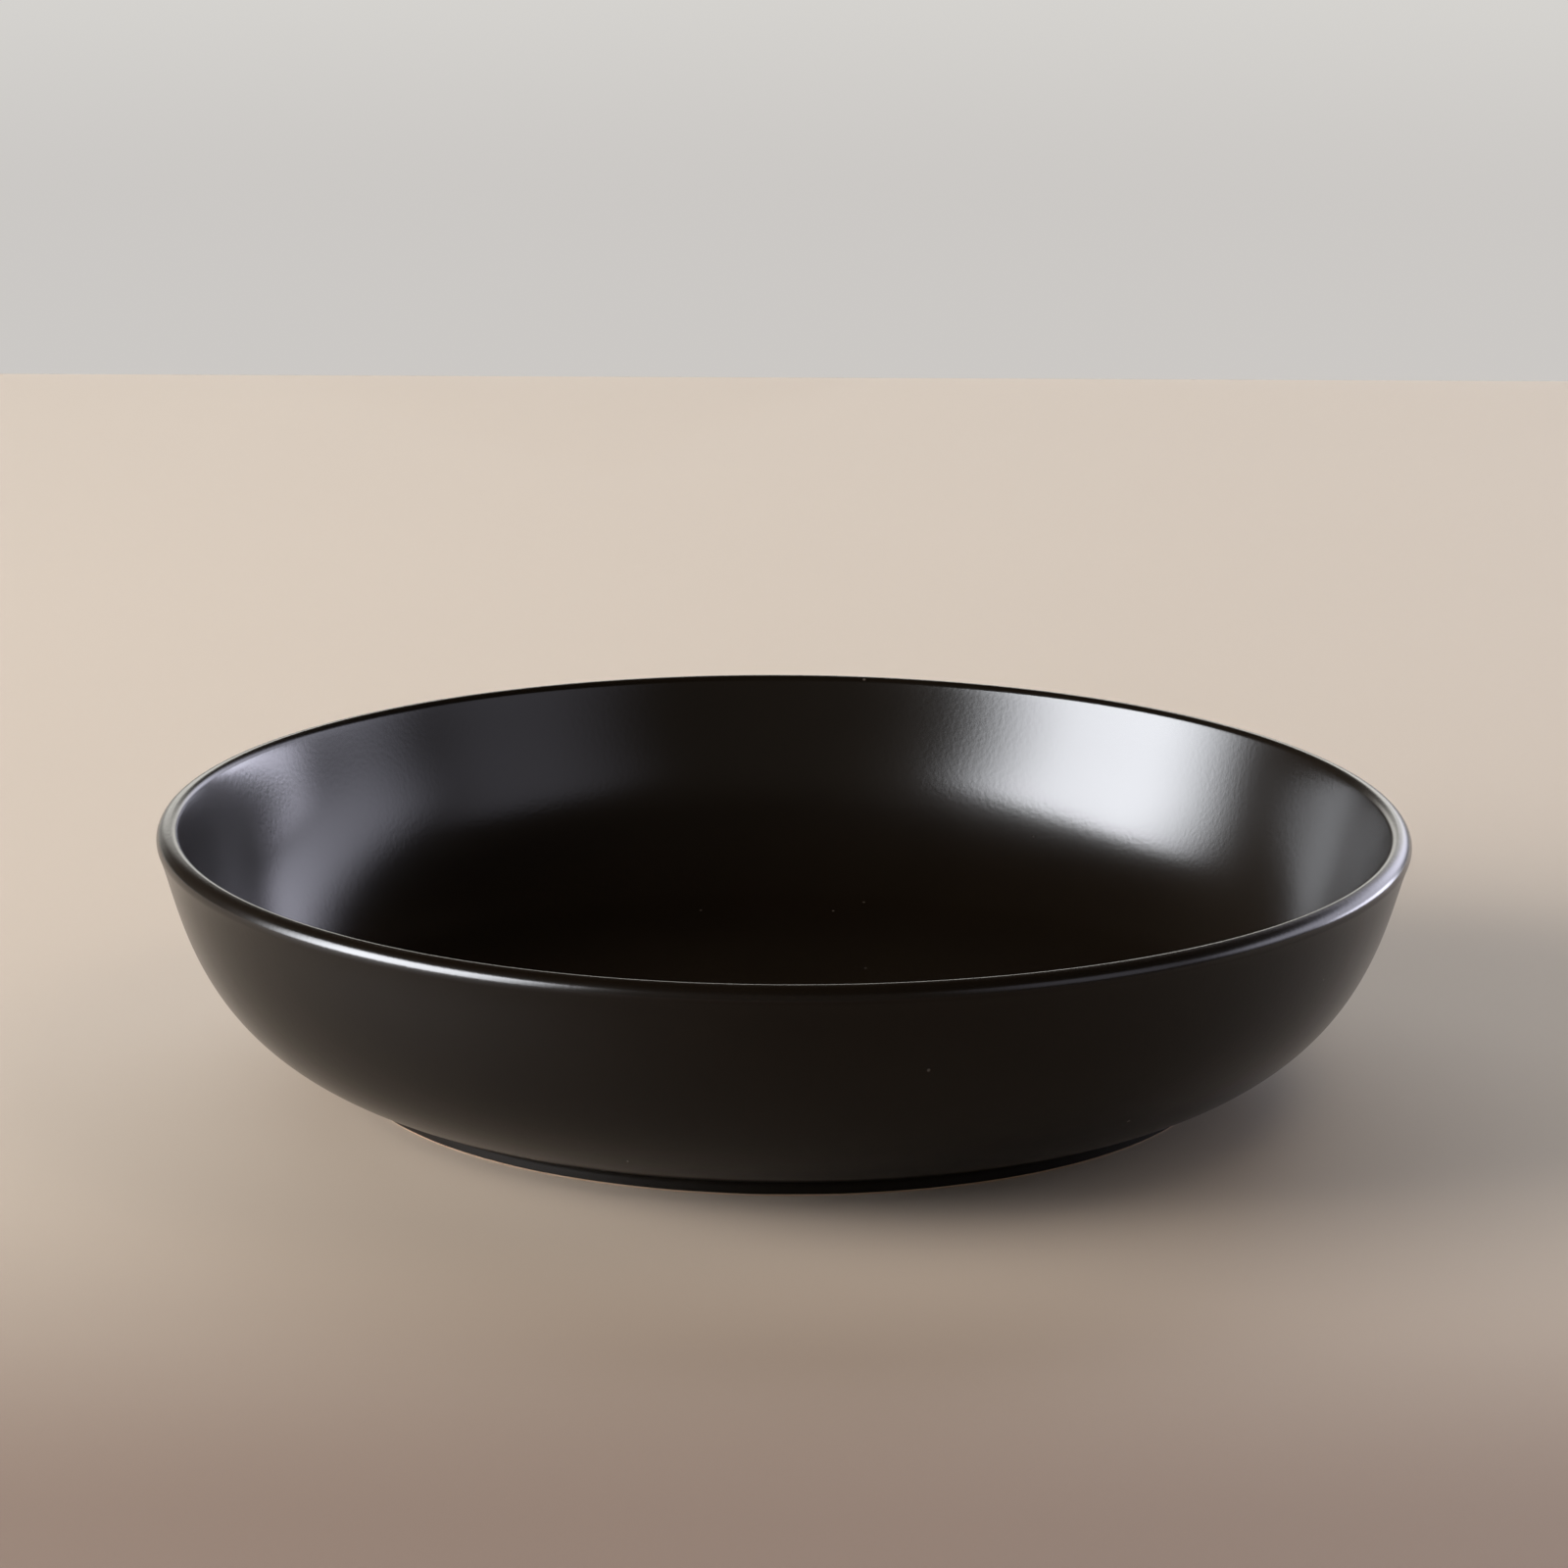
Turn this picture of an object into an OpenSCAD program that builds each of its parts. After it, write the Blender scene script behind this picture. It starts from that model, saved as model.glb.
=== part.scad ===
// Pasta bowl: a wide, low stoneware bowl with a satin black glaze.
// Every piece is a full turn of one half section, drawn with X as radius and Z up.
// The origin is the centre of the foot ring's resting face, on the table.

/* [Rim] */
// Widest diameter of the glazed bowl, across the shoulder of the rim
rim_d = 240; // [215:1:265]
// Height from the table to the top of the rim
bowl_h = 50; // [44:1:58]
// Width of the rim, from its inner edge to the outside
lip_w = 4.2; // [3.8:0.1:5.2]
// Radius of the rounded shoulder where the rim turns into the wall
shoulder_r = 2.4; // [1.8:0.1:2.8]
// Radius of the clay's small round on the rim's inner edge, under the glaze
clay_edge_r = 0.15; // [0.1:0.05:0.4]
// Outward fall of the rim's top, in degrees
crown_tilt = 6; // [2:1:12]

/* [Outside wall] */
// Lean of the wall below the rim, in degrees off vertical
wall_lean = 22; // [16:1:26]
// How far down the wall keeps to that lean
wall_upper_pull = 10; // [8:0.5:13]
// Rise of the underside where it leaves the foot ring, in degrees
belly_rise = 16.5; // [13:0.5:20]
// How far out the belly keeps to that rise
belly_pull = 31.5; // [28:0.5:34]

/* [Inside] */
// Lean of the inside wall below the rim, in degrees off vertical
inside_lean = 17; // [12:1:22]
// How far down the inside wall keeps to that lean
inside_upper_pull = 16.5; // [12:0.5:20]
// How far the level inside floor stops short of the foot ring's outside
floor_inset = 12; // [8:0.5:16]
// How far out the inside curve keeps level
floor_pull = 37; // [33:0.5:40]
// Thickness of the floor in the middle, both glazes included
floor_t = 5; // [4.5:0.1:7]

/* [Foot ring] */
// Outer diameter of the glazed foot ring
foot_d = 166; // [150:1:172]
// Height of the foot ring, from the table to the underside
foot_h = 3; // [2.4:0.1:4.5]
// Width of the foot ring, glaze included
foot_w = 5.4; // [4.5:0.1:8]
// Depth of the well inside the foot ring
well_depth = 2.6; // [2.2:0.1:3.2]
// Radius of the cove where the foot ring meets the underside or the well
foot_cove_r = 1.2; // [0.6:0.1:1.4]
// Radius of the bare round on both bottom edges of the foot ring
foot_edge_r = 0.35; // [0.2:0.05:0.4]
// Height of the straight band of bare clay between that round and the glaze
bare_band_h = 0.05; // [0.05:0.05:0.15]

/* [Glaze] */
// Thickness of the glaze
glaze_t = 0.4; // [0.3:0.05:0.5]

/* [Smoothness] */
// Steps along each long wall curve
wall_steps = 28; // [16:2:40]
// Steps round each small edge
edge_steps = 6; // [4:1:10]

/* [Hidden] */
$fn = 128;
glaze_black = [0.10, 0.09, 0.08];
well_black = [0.13, 0.12, 0.11];
bare_clay = [0.72, 0.62, 0.50];

rim_r = rim_d / 2;
foot_r = foot_d / 2;
foot_inner_r = foot_r - foot_w;
floor_r = foot_r - floor_inset;
floor_z = well_depth + floor_t;
inner_edge_r = clay_edge_r + glaze_t;
glaze_line_h = foot_edge_r + bare_band_h;

// Centre of the inner edge round, and of the shoulder round that shares its sloping crown line
inner_edge_c = [rim_r - lip_w + inner_edge_r, bowl_h - inner_edge_r];
shoulder_x = rim_r - shoulder_r;
shoulder_z = inner_edge_c.y
    + (sin(crown_tilt) * (inner_edge_c.x - shoulder_x) + inner_edge_r - shoulder_r) / cos(crown_tilt);
shoulder_c = [shoulder_x, shoulder_z];

// Centres of the coves on the outer and inner side of the foot ring
outer_cove_c = [foot_r + foot_cove_r, foot_h - foot_cove_r * cos(belly_rise)];
inner_cove_c = [foot_inner_r - foot_cove_r, well_depth - foot_cove_r];

// A point of a section is [place, outward normal], so that the clay can lie one glaze below it
function unit(v) = v / norm(v);
function dir(a) = [cos(a), sin(a)];

// Normal angles through each of the stops given, with even steps between them
function sweep(stops) = concat(
    [for (k = [1:len(stops) - 1], i = [0:edge_steps - 1])
        stops[k - 1] + (stops[k] - stops[k - 1]) * i / edge_steps],
    [stops[len(stops) - 1]]
);

// Points on a rounded edge, and in a hollow cove whose normals point at its centre
function edge_arc(c, r, stops) = [for (a = sweep(stops)) [c + r * dir(a), dir(a)]];
function cove_arc(c, r, stops) = [for (a = sweep(stops)) [c - r * dir(a), dir(a)]];

// Points on a long wall curve from p0 to p3, bent towards p1 and p2, ends left out.
// The normal lies to the right of the way it runs.
function curve_point(p, t) =
    pow(1 - t, 3) * p[0] + 3 * pow(1 - t, 2) * t * p[1] + 3 * (1 - t) * t * t * p[2] + pow(t, 3) * p[3];
function curve_way(p, t) =
    pow(1 - t, 2) * (p[1] - p[0]) + 2 * (1 - t) * t * (p[2] - p[1]) + t * t * (p[3] - p[2]);
function right_of(v) = unit([v.y, -v.x]);
function wall_curve(p) =
    [for (i = [1:wall_steps - 1]) let (t = i / wall_steps) [curve_point(p, t), right_of(curve_way(p, t))]];

// The face of the section, and the face of the clay under it
function face(section) = [for (s = section) s[0]];
function under(section) = [for (s = section) s[0] - glaze_t * s[1]];
function reversed(list) = [for (i = [len(list) - 1:-1:0]) list[i]];

// Glazed section from the glaze line on the foot ring, over the rim, to the middle of the floor
belly_start = outer_cove_c - foot_cove_r * dir(belly_rise - 90);
wall_end = shoulder_c + shoulder_r * dir(-wall_lean);
wall_points = [
    belly_start,
    belly_start + belly_pull * dir(belly_rise),
    wall_end - wall_upper_pull * dir(90 - wall_lean),
    wall_end
];
inside_start = inner_edge_c + inner_edge_r * dir(180 - inside_lean);
floor_start = [floor_r, floor_z];
inside_points = [
    inside_start,
    inside_start - inside_upper_pull * dir(90 - inside_lean),
    floor_start + [floor_pull, 0],
    floor_start
];
foot_side = [[[foot_r, glaze_line_h], dir(0)]];
outside_section = concat(
    foot_side,
    cove_arc(outer_cove_c, foot_cove_r, [0, belly_rise - 90]),
    wall_curve(wall_points),
    edge_arc(shoulder_c, shoulder_r, [-wall_lean, 0, 90 - crown_tilt])
);
inside_section = concat(
    edge_arc(inner_edge_c, inner_edge_r, [90 - crown_tilt, 90, 180 - inside_lean]),
    wall_curve(inside_points),
    [[floor_start, dir(90)], [[0, floor_z], dir(90)]]
);
coat_section = concat(outside_section, inside_section);

// Glazed section of the well, from the glaze line inside the foot ring to its middle
well_section = concat(
    [[[foot_inner_r, glaze_line_h], dir(180)]],
    cove_arc(inner_cove_c, foot_cove_r, [180, 270]),
    [[[0, well_depth], dir(270)]]
);

// The bare bottom of the foot ring, from its outer edge to its inner one
clay_foot_r = foot_r - glaze_t;
clay_foot_inner_r = foot_inner_r + glaze_t;
bare_section = concat(
    face(edge_arc([clay_foot_inner_r + foot_edge_r, foot_edge_r], foot_edge_r, [180, 270])),
    face(edge_arc([clay_foot_r - foot_edge_r, foot_edge_r], foot_edge_r, [270, 360]))
);

// Fired clay: floor, wall, rim and foot ring thrown and turned as one piece
module stoneware_body() {
    color(bare_clay)
        rotate_extrude()
            polygon(concat(under(coat_section), reversed(under(well_section)), bare_section));
}

// Satin black glaze over the inside, the rim, the wall and the side of the foot ring
module glaze_coat() {
    color(glaze_black)
        rotate_extrude()
            polygon(concat(face(coat_section), reversed(under(coat_section))));
}

// The same glaze in the well under the floor, cut off from the rest by the bare foot ring
module well_glaze() {
    color(well_black)
        rotate_extrude()
            polygon(concat(face(well_section), reversed(under(well_section))));
}

stoneware_body();
glaze_coat();
well_glaze();
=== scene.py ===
import math

import bpy
from mathutils import Matrix, Vector, noise


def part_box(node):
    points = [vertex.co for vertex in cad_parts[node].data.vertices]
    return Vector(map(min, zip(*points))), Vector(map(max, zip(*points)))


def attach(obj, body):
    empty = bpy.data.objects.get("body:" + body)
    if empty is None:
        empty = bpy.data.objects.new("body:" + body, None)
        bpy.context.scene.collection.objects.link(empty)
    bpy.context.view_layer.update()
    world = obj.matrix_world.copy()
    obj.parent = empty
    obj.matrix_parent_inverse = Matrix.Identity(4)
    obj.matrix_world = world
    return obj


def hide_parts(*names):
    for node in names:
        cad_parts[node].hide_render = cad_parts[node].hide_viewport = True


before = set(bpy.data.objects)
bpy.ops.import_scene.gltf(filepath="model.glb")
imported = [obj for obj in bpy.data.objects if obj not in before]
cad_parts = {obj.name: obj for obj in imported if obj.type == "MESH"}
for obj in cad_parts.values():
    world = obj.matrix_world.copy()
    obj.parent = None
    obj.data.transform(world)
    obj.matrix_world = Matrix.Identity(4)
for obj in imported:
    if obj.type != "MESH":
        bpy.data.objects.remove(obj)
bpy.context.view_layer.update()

# Sizes read from the frame, in metres
coat_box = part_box("glaze_coat")
clay_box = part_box("stoneware_body")
well_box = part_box("well_glaze")
RIM_RADIUS = coat_box[1].x
BOWL_HEIGHT = coat_box[1].z
GLAZE_THICKNESS = coat_box[1].x - clay_box[1].x
GLAZE_LINE = coat_box[0].z
FOOT_INNER_RADIUS = well_box[1].x - GLAZE_THICKNESS
WELL_DEPTH = well_box[1].z - GLAZE_THICKNESS

# The rest of the turned section, as the construction has it but for a fuller inner edge.
# Lengths are in metres and leans in degrees, and a pull is how far a curve keeps its first lean.
MM = 0.001
LIP_WIDTH = 4.2 * MM
SHOULDER_RADIUS = 2.4 * MM
INNER_EDGE_RADIUS = 1.5 * MM
CROWN_TILT = 6
WALL_LEAN = 22
WALL_UPPER_PULL = 10 * MM
BELLY_RISE = 16.5
BELLY_PULL = 31.5 * MM
INSIDE_LEAN = 17
INSIDE_UPPER_PULL = 16.5 * MM
FLOOR_INSET = 12 * MM
FLOOR_PULL = 37 * MM
FLOOR_THICKNESS = 5 * MM
FOOT_RADIUS = 83 * MM
FOOT_HEIGHT = 3 * MM
FOOT_COVE_RADIUS = 1.2 * MM
FOOT_EDGE_RADIUS = 0.35 * MM

# How far the fired rim is out of true: cosine and sine parts of one, two and three waves round it
RIM_WAVES = ((-0.048 * MM, 0.027 * MM), (-0.093 * MM, -0.032 * MM), (-0.070 * MM, 0.014 * MM))

# How far the turned wall strays from a true curve, and how long its slow waves are.
# The foot and the widest place stay true: the stray grows between two heights, and inward from there.
WALL_STRAY = 0.03 * MM
WALL_STRAY_LENGTH = 45 * MM
STRAY_START_HEIGHT = 4 * MM
STRAY_FULL_HEIGHT = 12 * MM
STRAY_RIM_WIDTH = 6 * MM

# The glaze's lower edge: its round, how far the round turns in degrees, how far the glaze line
# wanders up the foot, how long its waves are, and how high up they fade out
GLAZE_EDGE_RADIUS = 0.3 * MM
GLAZE_EDGE_TURN = 80
GLAZE_LINE_WANDER = 0.09 * MM
GLAZE_LINE_WAVE_LENGTH = 9 * MM
GLAZE_LINE_REACH = 3 * GLAZE_EDGE_RADIUS

# Fineness of the turned meshes, the radius that counts as on the axis, and the angle of a sharp edge
TURN_STEPS = 288
WALL_STEPS = 44
EDGE_STEPS = 9
LEVEL_STEPS = 16
BARE_FOOT_STEPS = 6
ON_AXIS = 1e-7
SHARP_ANGLE = 50

# Satin glaze: the two shades of its mottle, its pale specks, its gloss, and the sizes of its grain
GLAZE_DEEP = (0.0060, 0.0042, 0.0025, 1)
GLAZE_WARM = (0.0080, 0.0057, 0.0035, 1)
GLAZE_MOTTLE_SCALE = 60.0
GLAZE_GRAIN_SCALE = 1100.0
GLAZE_GRAIN_STRENGTH = 0.75
GLAZE_GRAIN_HEIGHT = 0.02 * MM
GLAZE_SMOOTHEST = 0.185
GLAZE_ROUGHEST = 0.21
GLAZE_IOR = 1.5
GLAZE_SPECULAR = 0.26
SPECK_COLOUR = (0.09, 0.085, 0.08, 1)
SPECK_SCALE = 75.0
SPECK_CORE = 0.018
SPECK_RIM = 0.030

# Bare clay: the two shades of its mottle, its dullness, and the sizes of its grain
CLAY_BROWN = (0.40, 0.27, 0.17, 1)
CLAY_BUFF = (0.62, 0.48, 0.35, 1)
CLAY_MOTTLE_SCALE = 180.0
CLAY_GRAIN_SCALE = 2600.0
CLAY_GRAIN_STRENGTH = 0.5
CLAY_GRAIN_HEIGHT = 0.15 * MM
CLAY_SMOOTHEST = 0.78
CLAY_ROUGHEST = 0.95

# Table: where its back edge lies, how that edge slants, and how far it reaches to the other sides
TABLE_BACK = 0.695
TABLE_SLANT = 0.0095
TABLE_REACH = 4.0
# Its colour and sheen in front of the bowl and behind it, and where along Y one turns into the other
# Painted shade: the darker colour and weaker sheen in front stand in for light falling off towards
# the front.
TABLE_SHADED_FRONT_COLOUR = (0.215, 0.145, 0.103, 1)
TABLE_BEHIND_COLOUR = (0.465, 0.43, 0.38, 1)
TABLE_SHADED_FRONT_SHEEN = 0.3
TABLE_BEHIND_SHEEN = 0.8
TABLE_FULL_SHADE_END = -0.26
TABLE_SHADE_FADE_END = -0.05
TABLE_ROUGHNESS = 0.7
TABLE_SHEEN_ROUGHNESS = 0.4
TABLE_SHEEN_TINT = (1.0, 0.95, 0.90, 1)
TABLE_CLOUD_SCALE = 6.0
TABLE_CLOUD_DEPTH = 0.03

# Pale backdrop: its lower and upper tone, and how steep a ray is where one turns into the other.
# Steepness is the height of a ray one metre long, from -1 straight down to 1 straight up.
BACKDROP_LOW_TONE = (0.60, 0.58, 0.56, 1)
BACKDROP_HIGH_TONE = (0.685, 0.672, 0.645, 1)
BACKDROP_LOW_STEEPNESS = -0.17
BACKDROP_HIGH_STEEPNESS = -0.125
# How softly the backdrop gives way to the room at the horizon
HORIZON_SOFTNESS = 0.02

# Dim room above it: its two sides, the way to the near one, and how far their blend reaches
ROOM_FAR_TONE = (0.058, 0.048, 0.039, 1)
ROOM_NEAR_TONE = (0.25, 0.215, 0.18, 1)
ROOM_NEAR_WAY = (-0.6, -0.8, 0.0)
ROOM_BLEND_REACH = 0.7
# How steep a ray is where the room starts to darken overhead and where it has, and what is left there
CEILING_START = 0.48
CEILING_FULL = 0.8
CEILING_SHARE = 0.3

# Colours of the lamps, and the place in metres that they all face
COOL = (0.92, 0.945, 1.0)
NEUTRAL = (0.96, 0.98, 1.0)
WARM = (1.0, 0.83, 0.68)
SKY = (0.84, 0.84, 1.0)
PALE = (1.0, 0.98, 0.92)
LIT_PLACE = Vector((0, 0, 0.03))
# How far off the lamps for shine stand, and the soft share of the lamps for glow at each edge
SHINE_DISTANCE = 2.0
GLOW_FEATHER = (0.2, 0.2)

# Camera of the photograph: place in metres, turns in radians, sensor and lens in millimetres
CAMERA_PLACE = Vector((-0.0001, -1.3373, 0.3969))
CAMERA_PITCH = 0.2492
CAMERA_ROLL = 0.0066
CAMERA_SENSOR = 36
CAMERA_LENS = 165.47


# Section of the bowl, as points with the outward normals of its face

def direction(angle):
    """Unit vector in the section at an angle in degrees, 0 outward and 90 up."""
    return Vector((math.cos(math.radians(angle)), math.sin(math.radians(angle))))


def sweep(stops):
    """Angles through each of the stops, with even steps between them."""
    angles = [stops[0]]
    for start, end in zip(stops, stops[1:]):
        angles += [start + (end - start) * (i + 1) / EDGE_STEPS for i in range(EDGE_STEPS)]
    return angles


def edge_arc(centre, radius, stops):
    """Points on a rounded edge."""
    return [(centre + radius * direction(a), direction(a)) for a in sweep(stops)]


def cove_arc(centre, radius, stops):
    """Points in a hollow cove, whose normals point at its centre."""
    return [(centre - radius * direction(a), direction(a)) for a in sweep(stops)]


def wall_curve(start, start_pull, end_pull, end):
    """Points on a long wall curve from start to end, bent towards the pulls, ends left out."""
    points = []
    for i in range(1, WALL_STEPS):
        t = i / WALL_STEPS
        u = 1 - t
        place = (
            u ** 3 * start
            + 3 * u * u * t * start_pull
            + 3 * u * t * t * end_pull
            + t ** 3 * end
        )
        way = (
            u * u * (start_pull - start)
            + 2 * u * t * (end_pull - start_pull)
            + t * t * (end - end_pull)
        )
        points.append((place, Vector((way.y, -way.x)).normalized()))
    return points


def level_face(radius, height, normal_angle):
    """Points on a level face, from a radius in to the bowl's axis."""
    shares = [1 - i / LEVEL_STEPS for i in range(LEVEL_STEPS + 1)]
    return [(Vector((radius * share, height)), direction(normal_angle)) for share in shares]


def coat_section():
    """Glazed section from the glaze line on the foot, over the rim, to the middle of the floor."""
    lower_edge = Vector((FOOT_RADIUS - GLAZE_EDGE_RADIUS, GLAZE_LINE + GLAZE_EDGE_RADIUS))
    cove_height = FOOT_HEIGHT - FOOT_COVE_RADIUS * math.cos(math.radians(BELLY_RISE))
    cove = Vector((FOOT_RADIUS + FOOT_COVE_RADIUS, cove_height))
    belly_start = cove - FOOT_COVE_RADIUS * direction(BELLY_RISE - 90)

    # The crown is one line, falling outward, that touches the rounds on both sides of it
    inner_edge = Vector((RIM_RADIUS - LIP_WIDTH + INNER_EDGE_RADIUS, BOWL_HEIGHT - INNER_EDGE_RADIUS))
    shoulder_x = RIM_RADIUS - SHOULDER_RADIUS
    tilt = math.radians(CROWN_TILT)
    drop = math.sin(tilt) * (inner_edge.x - shoulder_x) + INNER_EDGE_RADIUS - SHOULDER_RADIUS
    shoulder = Vector((shoulder_x, inner_edge.y + drop / math.cos(tilt)))

    wall_end = shoulder + SHOULDER_RADIUS * direction(-WALL_LEAN)
    inside_start = inner_edge + INNER_EDGE_RADIUS * direction(180 - INSIDE_LEAN)
    floor_start = Vector((FOOT_RADIUS - FLOOR_INSET, WELL_DEPTH + FLOOR_THICKNESS))

    section = edge_arc(lower_edge, GLAZE_EDGE_RADIUS, [-GLAZE_EDGE_TURN, 0])
    section += cove_arc(cove, FOOT_COVE_RADIUS, [0, BELLY_RISE - 90])
    section += wall_curve(
        belly_start,
        belly_start + BELLY_PULL * direction(BELLY_RISE),
        wall_end - WALL_UPPER_PULL * direction(90 - WALL_LEAN),
        wall_end,
    )
    section += edge_arc(shoulder, SHOULDER_RADIUS, [-WALL_LEAN, 0, 90 - CROWN_TILT])
    section += edge_arc(inner_edge, INNER_EDGE_RADIUS, [90 - CROWN_TILT, 90, 180 - INSIDE_LEAN])
    section += wall_curve(
        inside_start,
        inside_start - INSIDE_UPPER_PULL * direction(90 - INSIDE_LEAN),
        floor_start + Vector((FLOOR_PULL, 0)),
        floor_start,
    )
    section += level_face(floor_start.x, floor_start.y, 90)
    return section


def well_section():
    """Glazed section of the well, from the glaze line inside the foot to its middle."""
    lower_edge = Vector((FOOT_INNER_RADIUS + GLAZE_EDGE_RADIUS, GLAZE_LINE + GLAZE_EDGE_RADIUS))
    cove = Vector((FOOT_INNER_RADIUS - FOOT_COVE_RADIUS, WELL_DEPTH - FOOT_COVE_RADIUS))
    section = edge_arc(lower_edge, GLAZE_EDGE_RADIUS, [180 + GLAZE_EDGE_TURN, 180])
    section += cove_arc(cove, FOOT_COVE_RADIUS, [180, 270])
    section += level_face(cove.x, WELL_DEPTH, 270)[1:]
    return section


def face(section):
    """The points of a section without their normals."""
    return [place for place, normal in section]


def under(section):
    """The face of the clay under a glazed section."""
    return [place - GLAZE_THICKNESS * normal for place, normal in section]


def bare_foot():
    """The bare bottom of the foot ring, from its inner edge to its outer one."""
    inner = FOOT_INNER_RADIUS + GLAZE_THICKNESS + FOOT_EDGE_RADIUS
    outer = FOOT_RADIUS - GLAZE_THICKNESS - FOOT_EDGE_RADIUS
    steps = range(1, BARE_FOOT_STEPS)
    outline = face(edge_arc(Vector((inner, FOOT_EDGE_RADIUS)), FOOT_EDGE_RADIUS, [180, 270]))
    outline += [Vector((inner + (outer - inner) * i / BARE_FOOT_STEPS, 0)) for i in steps]
    outline += face(edge_arc(Vector((outer, FOOT_EDGE_RADIUS)), FOOT_EDGE_RADIUS, [270, 360]))
    return outline


# Turned meshes

def smooth_step(value, low, high):
    """0 below low, 1 above high, and a soft rise between them."""
    t = min(max((value - low) / (high - low), 0), 1)
    return t * t * (3 - 2 * t)


def rim_wave(angle):
    """Height of the rim's waves at an angle round the bowl."""
    parts = enumerate(RIM_WAVES, start=1)
    return sum(c * math.cos(k * angle) + s * math.sin(k * angle) for k, (c, s) in parts)


# The tallest wave, where the fired rim keeps the bowl's full height
RIM_WAVE_TOP = max(rim_wave(math.radians(a)) for a in range(360))


def fired_place(radius, height, angle):
    """Where a point of the section lies on the fired bowl, with its slight warp and stray."""
    warp = (rim_wave(angle) - RIM_WAVE_TOP) * (height / BOWL_HEIGHT) ** 2
    place = Vector((radius * math.cos(angle), radius * math.sin(angle), height))
    above_foot = smooth_step(height, STRAY_START_HEIGHT, STRAY_FULL_HEIGHT)
    inside_rim = smooth_step(RIM_RADIUS - radius, 0, STRAY_RIM_WIDTH)
    radius += noise.noise(place / WALL_STRAY_LENGTH) * WALL_STRAY * above_foot * inside_rim
    return Vector((radius * math.cos(angle), radius * math.sin(angle), height + warp))


def glazed_place(radius, height, angle):
    """Where a point of the glaze lies, with the glaze line wandering up the foot."""
    place = fired_place(radius, height, angle)
    lowness = 1 - smooth_step(height, GLAZE_LINE, GLAZE_LINE + GLAZE_LINE_REACH)
    around = Vector((math.cos(angle), math.sin(angle), 0)) * radius / GLAZE_LINE_WAVE_LENGTH
    place.z += (noise.noise(around) * 0.5 + 0.5) * GLAZE_LINE_WANDER * lowness
    return place


def ring_faces(lower, upper):
    """Faces between two rings of points, where a ring on the axis is a single point."""
    if len(lower) == 1 and len(upper) == 1:
        return []
    faces = []
    for i in range(TURN_STEPS):
        j = (i + 1) % TURN_STEPS
        if len(lower) == 1:
            faces.append((lower[0], upper[j], upper[i]))
        elif len(upper) == 1:
            faces.append((lower[i], lower[j], upper[0]))
        else:
            faces.append((lower[i], lower[j], upper[j], upper[i]))
    return faces


def turned_mesh(name, outline, place, material):
    """A closed piece: the outline turned about the bowl's axis, each point put by place()."""
    points = []
    rings = []
    for radius, height in outline:
        turns = range(1 if radius < ON_AXIS else TURN_STEPS)
        rings.append(range(len(points), len(points) + len(turns)))
        points += [place(radius, height, 2 * math.pi * i / TURN_STEPS) for i in turns]
    faces = []
    for lower, upper in zip(rings, rings[1:] + rings[:1]):
        faces += ring_faces(lower, upper)
    mesh = bpy.data.meshes.new(name)
    mesh.from_pydata(points, [], faces)
    mesh.validate()
    mesh.shade_smooth()
    mesh.set_sharp_from_angle(angle=math.radians(SHARP_ANGLE))
    mesh.materials.append(material)
    piece = bpy.data.objects.new(name, mesh)
    bpy.context.collection.objects.link(piece)
    return piece


# Shader node helpers

def new_material(name):
    """A new material and its Principled shader."""
    material = bpy.data.materials.new(name)
    material.use_nodes = True
    shader = material.node_tree.nodes["Principled BSDF"]
    return material, shader


def set_inputs(tree, node, inputs):
    """Set a node's inputs to values, or link them to sockets."""
    for key, value in inputs.items():
        if isinstance(value, bpy.types.NodeSocket):
            tree.links.new(value, node.inputs[key])
        else:
            node.inputs[key].default_value = value


def add_node(tree, kind, inputs=None, **settings):
    """A node with its settings, and inputs given as values or as sockets to link."""
    node = tree.nodes.new(kind)
    for key, value in settings.items():
        setattr(node, key, value)
    set_inputs(tree, node, inputs or {})
    return node


def ramp(tree, value, low, high, at_low, at_high, shape="SMOOTHSTEP"):
    """A value that goes from at_low to at_high as another goes from low to high."""
    node = add_node(tree, "ShaderNodeMapRange", {
        "Value": value,
        "From Min": low,
        "From Max": high,
        "To Min": at_low,
        "To Max": at_high,
    }, interpolation_type=shape)
    return node.outputs["Result"]


def spread(tree, value, low, high):
    """A value from 0 to 1 spread evenly between low and high."""
    return ramp(tree, value, 0.0, 1.0, low, high, "LINEAR")


def times(tree, first, second):
    """The product of two values."""
    node = add_node(tree, "ShaderNodeMath", {0: first, 1: second}, operation="MULTIPLY")
    return node.outputs["Value"]


def mixed(tree, factor, first, second):
    """The first colour at factor 0, the second at factor 1, and mixes between them."""
    inputs = {"Factor": factor, "A": first, "B": second}
    return add_node(tree, "ShaderNodeMix", inputs, data_type="RGBA").outputs["Result"]


def scaled(tree, colour, share):
    """A colour made lighter or darker by a share."""
    inputs = {0: colour, "Scale": share}
    return add_node(tree, "ShaderNodeVectorMath", inputs, operation="SCALE").outputs["Vector"]


# Materials

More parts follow.
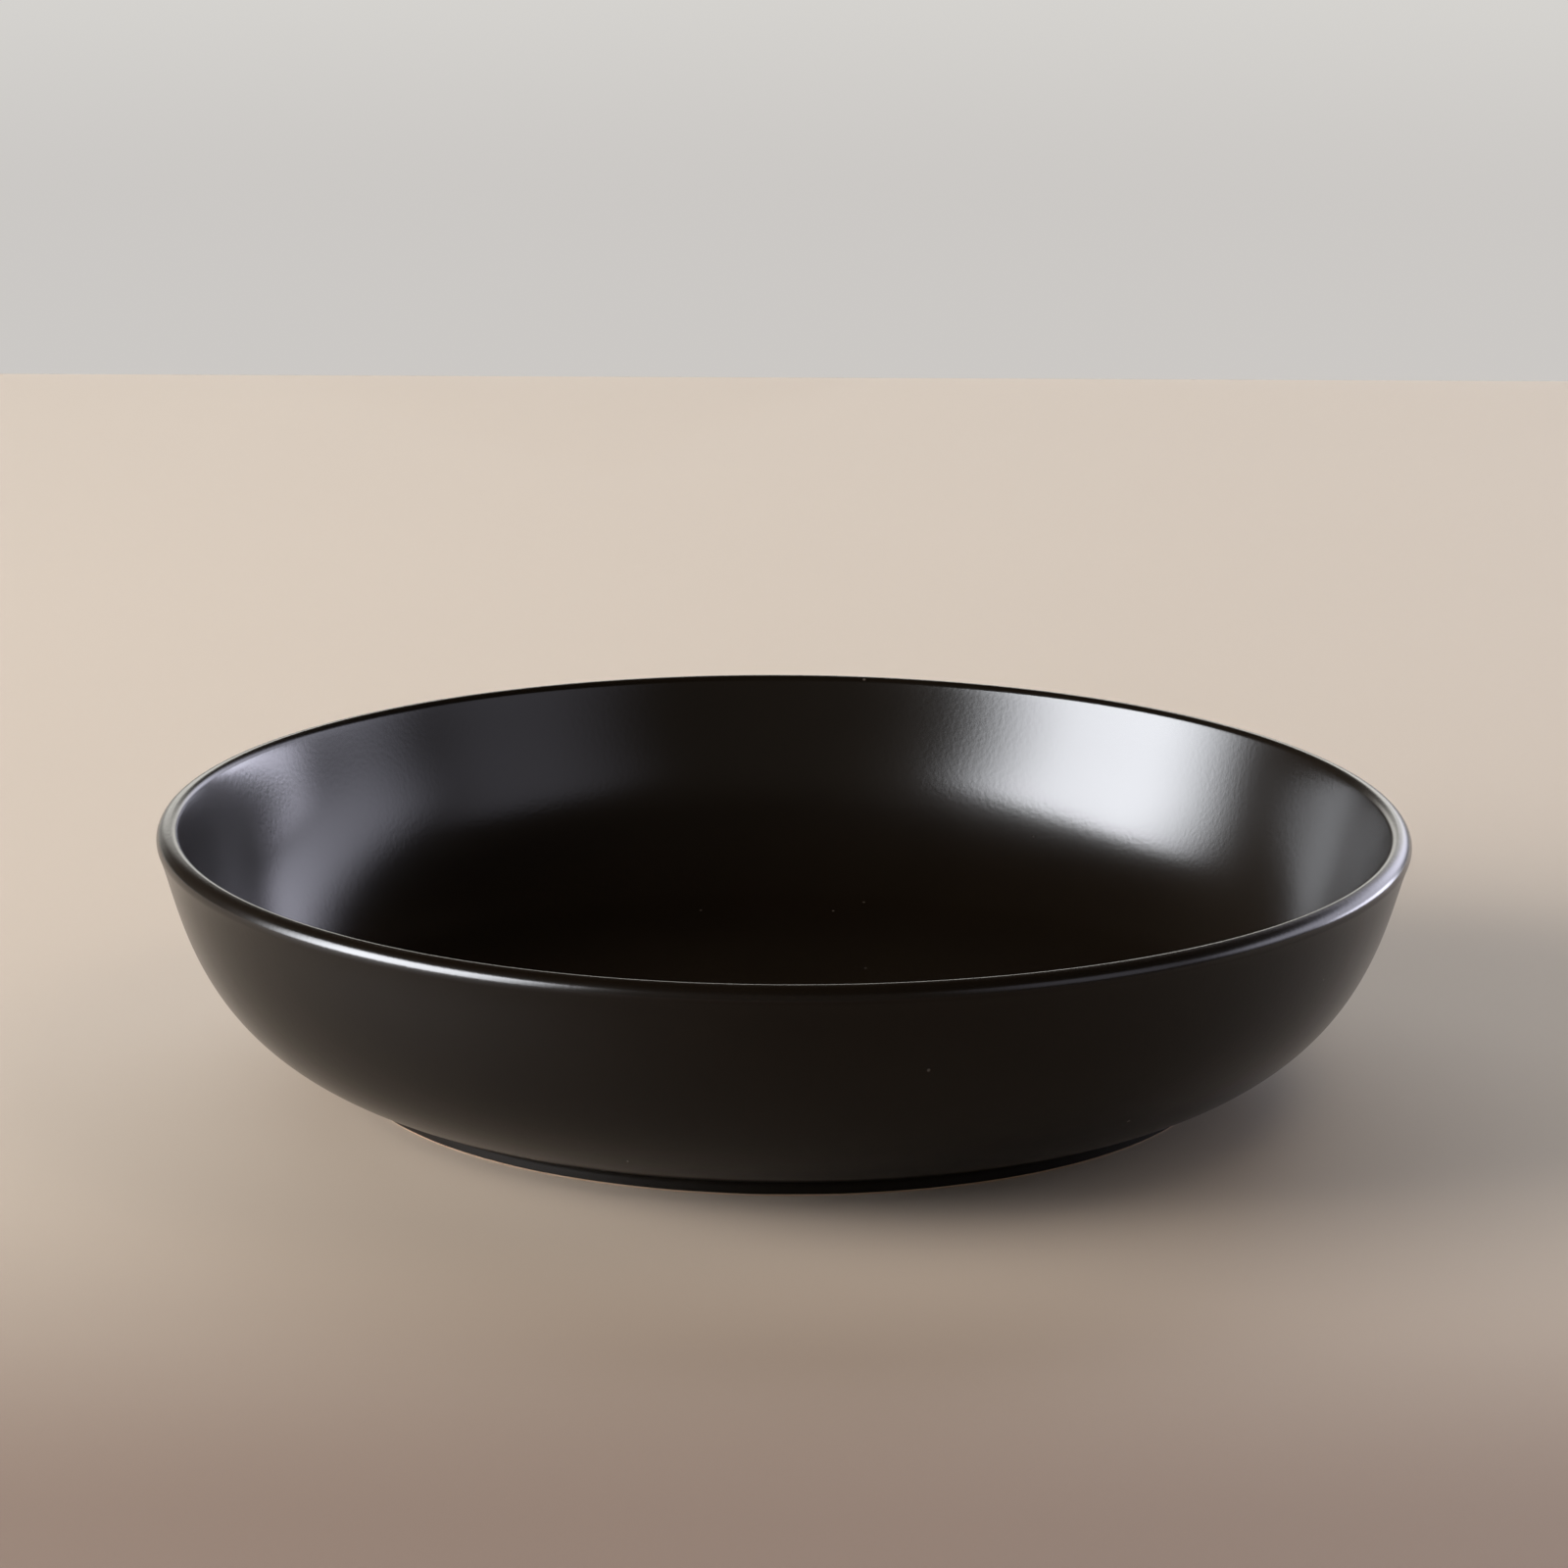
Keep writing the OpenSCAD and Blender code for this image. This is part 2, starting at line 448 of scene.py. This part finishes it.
def grain_group():
    """Shared surface grain: a slow mottle and a fine grain, both from 0 to 1."""
    group = bpy.data.node_groups.new("fired_grain", "ShaderNodeTree")
    sockets = group.interface
    sockets.new_socket("Place", in_out="INPUT", socket_type="NodeSocketVector")
    sockets.new_socket("Mottle Scale", in_out="INPUT", socket_type="NodeSocketFloat")
    sockets.new_socket("Grain Scale", in_out="INPUT", socket_type="NodeSocketFloat")
    sockets.new_socket("Mottle", in_out="OUTPUT", socket_type="NodeSocketFloat")
    sockets.new_socket("Grain", in_out="OUTPUT", socket_type="NodeSocketFloat")
    given = group.nodes.new("NodeGroupInput").outputs
    result = group.nodes.new("NodeGroupOutput").inputs
    mottle = add_node(group, "ShaderNodeTexNoise", {
        "Vector": given["Place"],
        "Scale": given["Mottle Scale"],
        "Detail": 4.0,
        "Roughness": 0.55,
    })
    grain = add_node(group, "ShaderNodeTexNoise", {
        "Vector": given["Place"],
        "Scale": given["Grain Scale"],
        "Detail": 2.0,
        "Roughness": 0.5,
    })
    group.links.new(mottle.outputs["Fac"], result["Mottle"])
    group.links.new(grain.outputs["Fac"], result["Grain"])
    return group


def object_place(tree):
    """The place on the object, for textures that stay with it."""
    return add_node(tree, "ShaderNodeTexCoord").outputs["Object"]


def satin_glaze(grain):
    """Satin black glaze: warm near-black, softly mottled, with a few pale specks."""
    material, shader = new_material("satin_black_glaze")
    tree = material.node_tree
    place = object_place(tree)
    surface = add_node(tree, "ShaderNodeGroup", {
        "Place": place,
        "Mottle Scale": GLAZE_MOTTLE_SCALE,
        "Grain Scale": GLAZE_GRAIN_SCALE,
    }, node_tree=grain).outputs
    shades = mixed(tree, surface["Mottle"], GLAZE_DEEP, GLAZE_WARM)
    cells = add_node(tree, "ShaderNodeTexVoronoi", {"Vector": place, "Scale": SPECK_SCALE})
    speck = ramp(tree, cells.outputs["Distance"], SPECK_CORE, SPECK_RIM, 1.0, 0.0, "LINEAR")
    bump = add_node(tree, "ShaderNodeBump", {
        "Height": surface["Grain"],
        "Strength": GLAZE_GRAIN_STRENGTH,
        "Distance": GLAZE_GRAIN_HEIGHT,
    })
    set_inputs(tree, shader, {
        "Base Color": mixed(tree, speck, shades, SPECK_COLOUR),
        "Roughness": spread(tree, surface["Mottle"], GLAZE_SMOOTHEST, GLAZE_ROUGHEST),
        "Normal": bump.outputs["Normal"],
        "IOR": GLAZE_IOR,
        "Specular IOR Level": GLAZE_SPECULAR,
    })
    return material


def bare_clay(grain):
    """Bare stoneware on the foot: warm buff, grainy and dull."""
    material, shader = new_material("bare_stoneware")
    tree = material.node_tree
    surface = add_node(tree, "ShaderNodeGroup", {
        "Place": object_place(tree),
        "Mottle Scale": CLAY_MOTTLE_SCALE,
        "Grain Scale": CLAY_GRAIN_SCALE,
    }, node_tree=grain).outputs
    bump = add_node(tree, "ShaderNodeBump", {
        "Height": surface["Grain"],
        "Strength": CLAY_GRAIN_STRENGTH,
        "Distance": CLAY_GRAIN_HEIGHT,
    })
    set_inputs(tree, shader, {
        "Base Color": mixed(tree, surface["Mottle"], CLAY_BROWN, CLAY_BUFF),
        "Roughness": spread(tree, surface["Grain"], CLAY_SMOOTHEST, CLAY_ROUGHEST),
        "Normal": bump.outputs["Normal"],
    })
    return material


def pale_table():
    """Pale table: faintly cloudy, with a soft sheen, and painted shade that makes it darker in front
    of the bowl than behind it.
    """
    material, behind = new_material("pale_table")
    tree = material.node_tree
    place = object_place(tree)
    parts = add_node(tree, "ShaderNodeSeparateXYZ", {"Vector": place})
    # Painted shade: 0 in front of the bowl, where the table gets the darker colour and weaker sheen,
    # rising to 1 behind it.
    shade_fade = ramp(tree, parts.outputs["Y"], TABLE_FULL_SHADE_END, TABLE_SHADE_FADE_END, 0.0, 1.0)
    cloud = add_node(tree, "ShaderNodeTexNoise", {
        "Vector": place,
        "Scale": TABLE_CLOUD_SCALE,
        "Detail": 2.0,
    })
    shade = spread(tree, cloud.outputs["Fac"], 1 - TABLE_CLOUD_DEPTH, 1 + TABLE_CLOUD_DEPTH)
    colour = scaled(tree, mixed(tree, shade_fade, TABLE_SHADED_FRONT_COLOUR, TABLE_BEHIND_COLOUR), shade)
    front = add_node(tree, "ShaderNodeBsdfPrincipled")
    for shader, sheen in ((front, TABLE_SHADED_FRONT_SHEEN), (behind, TABLE_BEHIND_SHEEN)):
        set_inputs(tree, shader, {
            "Base Color": colour,
            "Roughness": TABLE_ROUGHNESS,
            "Sheen Weight": sheen,
            "Sheen Roughness": TABLE_SHEEN_ROUGHNESS,
            "Sheen Tint": TABLE_SHEEN_TINT,
        })
    blend = add_node(tree, "ShaderNodeMixShader", {
        0: shade_fade,
        1: front.outputs["BSDF"],
        2: behind.outputs["BSDF"],
    })
    tree.links.new(blend.outputs["Shader"], tree.nodes["Material Output"].inputs["Surface"])
    return material


# The bowl's pieces

def glaze_piece(coat, glaze):
    """The glaze over the inside, the rim, the wall and the foot's side."""
    outline = face(coat) + under(coat)[::-1]
    piece = turned_mesh("bowl_glaze", outline, glazed_place, glaze)
    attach(piece, "root")
    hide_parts("glaze_coat")


def well_piece(well, glaze):
    """The glaze in the well under the floor."""
    outline = under(well) + face(well)[::-1]
    piece = turned_mesh("well_lining", outline, glazed_place, glaze)
    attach(piece, "root")
    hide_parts("well_glaze")


def clay_piece(coat, well, clay):
    """The stoneware under both glazes, bare on the bottom of the foot."""
    outline = under(coat) + under(well)[::-1] + bare_foot()
    piece = turned_mesh("bowl_clay", outline, fired_place, clay)
    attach(piece, "root")
    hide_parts("stoneware_body")


def build_bowl():
    """The whole bowl: its clay and its two glazes, from the same two sections."""
    grain = grain_group()
    glaze = satin_glaze(grain)
    clay = bare_clay(grain)
    coat = coat_section()
    well = well_section()
    glaze_piece(coat, glaze)
    well_piece(well, glaze)
    clay_piece(coat, well, clay)


# Studio

def pale_floor():
    """The table: wide, and ending a little way behind the bowl."""
    left, right, front = -TABLE_REACH, TABLE_REACH, -TABLE_REACH
    back_left = TABLE_BACK + TABLE_SLANT * left
    back_right = TABLE_BACK + TABLE_SLANT * right
    corners = [(left, front, 0), (right, front, 0), (right, back_right, 0), (left, back_left, 0)]
    mesh = bpy.data.meshes.new("floor")
    mesh.from_pydata(corners, [], [(0, 1, 2, 3)])
    mesh.materials.append(pale_table())
    floor = bpy.data.objects.new("floor", mesh)
    bpy.context.collection.objects.link(floor)


def feather_edges(lamp, feather):
    """Fade a lamp towards its sides and its top and bottom, each over that share of its size."""
    lamp.use_nodes = True
    tree = lamp.node_tree
    across = add_node(tree, "ShaderNodeNewGeometry").outputs["Parametric"]
    parts = add_node(tree, "ShaderNodeSeparateXYZ", {"Vector": across})
    fades = []
    for axis, share in zip("XY", feather):
        fades.append(ramp(tree, parts.outputs[axis], 0.0, share, 0.0, 1.0))
        fades.append(ramp(tree, parts.outputs[axis], 1.0 - share, 1.0, 1.0, 0.0))
    strength = fades[0]
    for fade in fades[1:]:
        strength = times(tree, strength, fade)
    tree.links.new(strength, tree.nodes["Emission"].inputs["Strength"])


def soft_box(name, bearings, heights, distance, radiance, colour, feather, shine):
    """A soft box that fills those bearings and heights, in degrees, as the bowl sees it.

    Bearings are 0 behind the bowl, -90 to its left and 180 at the camera's side.
    With shine it shows only in reflections, and without shine it lights only dull surfaces.
    """
    bearing = math.radians(sum(bearings) / 2)
    height = math.radians(sum(heights) / 2)
    way = Vector((
        math.sin(bearing) * math.cos(height),
        math.cos(bearing) * math.cos(height),
        math.sin(height),
    ))
    half_width = distance * math.cos(height) * math.tan(math.radians(bearings[1] - bearings[0]) / 2)
    half_height = distance * math.tan(math.radians(heights[1] - heights[0]) / 2)
    lamp = bpy.data.lights.new(name, "AREA")
    lamp.shape = "RECTANGLE"
    lamp.size = 2 * half_width
    lamp.size_y = 2 * half_height
    lamp.energy = radiance * math.pi * lamp.size * lamp.size_y
    lamp.color = colour
    feather_edges(lamp, feather)
    holder = bpy.data.objects.new(name, lamp)
    holder.location = way * distance + LIT_PLACE
    holder.rotation_mode = "QUATERNION"
    holder.rotation_quaternion = (-way).to_track_quat("-Z", "Y")
    holder.visible_camera = False
    holder.visible_glossy = shine
    holder.visible_diffuse = not shine
    bpy.context.collection.objects.link(holder)


def shine_box(name, bearings, heights, radiance, colour, feather):
    """A soft box that shows only in reflections."""
    soft_box(name, bearings, heights, SHINE_DISTANCE, radiance, colour, feather, shine=True)


def glow_box(name, bearings, heights, distance, radiance, colour):
    """A soft box that lights only dull surfaces, such as the table."""
    soft_box(name, bearings, heights, distance, radiance, colour, GLOW_FEATHER, shine=False)


def soft_boxes():
    """The lamps: a large one at the left, a window at the right, and dimmer ones round the bowl."""
    shine_box("key_shine", (-145, -72), (-2, 39.5), radiance=40, colour=COOL, feather=(0.40, 0.16))
    glow_box("key_glow", (-128, -72), (5, 40), distance=1.3, radiance=8.6, colour=WARM)
    glow_box("right_glow", (55, 115), (12, 42), distance=1.3, radiance=0.7, colour=WARM)
    glow_box("right_top_glow", (50, 130), (46, 72), distance=0.8, radiance=2.4, colour=WARM)
    glow_box("back_glow", (-50, 40), (22, 46), distance=1.5, radiance=4.2, colour=NEUTRAL)
    shine_box("window_right", (8, 104), (0, 36), radiance=5.2, colour=SKY, feather=(0.28, 0.42))
    shine_box("window_sill", (36, 73), (-3, 10), radiance=12, colour=SKY, feather=(0.28, 0.25))
    shine_box("side_right", (88, 155), (4, 40), radiance=1.6, colour=SKY, feather=(0.45, 0.25))
    shine_box("back_strip", (-26, 26), (3, 19), radiance=2.3, colour=PALE, feather=(0.3, 0.3))
    shine_box("back_left", (-36, -8), (-4, 14), radiance=0.6, colour=PALE, feather=(0.4, 0.3))


def studio_world():
    """A pale backdrop below the horizon, and a dim room above, brighter towards the front left."""
    world = bpy.data.worlds.new("studio")
    world.use_nodes = True
    tree = world.node_tree
    way = add_node(tree, "ShaderNodeTexCoord").outputs["Generated"]
    steepness = add_node(tree, "ShaderNodeSeparateXYZ", {"Vector": way}).outputs["Z"]

    rise = ramp(tree, steepness, BACKDROP_LOW_STEEPNESS, BACKDROP_HIGH_STEEPNESS, 0.0, 1.0)
    backdrop = mixed(tree, rise, BACKDROP_LOW_TONE, BACKDROP_HIGH_TONE)

    ways = {0: way, 1: ROOM_NEAR_WAY}
    slope = add_node(tree, "ShaderNodeVectorMath", ways, operation="DOT_PRODUCT").outputs["Value"]
    nearness = ramp(tree, slope, -ROOM_BLEND_REACH, ROOM_BLEND_REACH, 0.0, 1.0)
    light = ramp(tree, steepness, CEILING_START, CEILING_FULL, 1.0, CEILING_SHARE)
    room = scaled(tree, mixed(tree, nearness, ROOM_FAR_TONE, ROOM_NEAR_TONE), light)

    below = ramp(tree, steepness, -HORIZON_SOFTNESS, 0.0, 1.0, 0.0)
    tree.links.new(mixed(tree, below, room, backdrop), tree.nodes["Background"].inputs["Color"])
    bpy.context.scene.world = world


def photo_camera():
    """The photograph's camera, with its slight roll."""
    data = bpy.data.cameras.new("camera")
    data.lens = CAMERA_LENS
    data.sensor_width = CAMERA_SENSOR
    camera = bpy.data.objects.new("camera", data)
    bpy.context.collection.objects.link(camera)
    level_right = Vector((1, 0, 0))
    level_up = Vector((0, math.sin(CAMERA_PITCH), math.cos(CAMERA_PITCH)))
    right = math.cos(CAMERA_ROLL) * level_right + math.sin(CAMERA_ROLL) * level_up
    up = math.cos(CAMERA_ROLL) * level_up - math.sin(CAMERA_ROLL) * level_right
    turn = Matrix((right, up, right.cross(up))).transposed()
    camera.rotation_mode = "QUATERNION"
    camera.rotation_quaternion = turn.to_quaternion()
    camera.location = CAMERA_PLACE
    bpy.context.scene.camera = camera


build_bowl()
pale_floor()
soft_boxes()
studio_world()
photo_camera()
bpy.context.scene.view_settings.view_transform = "Standard"
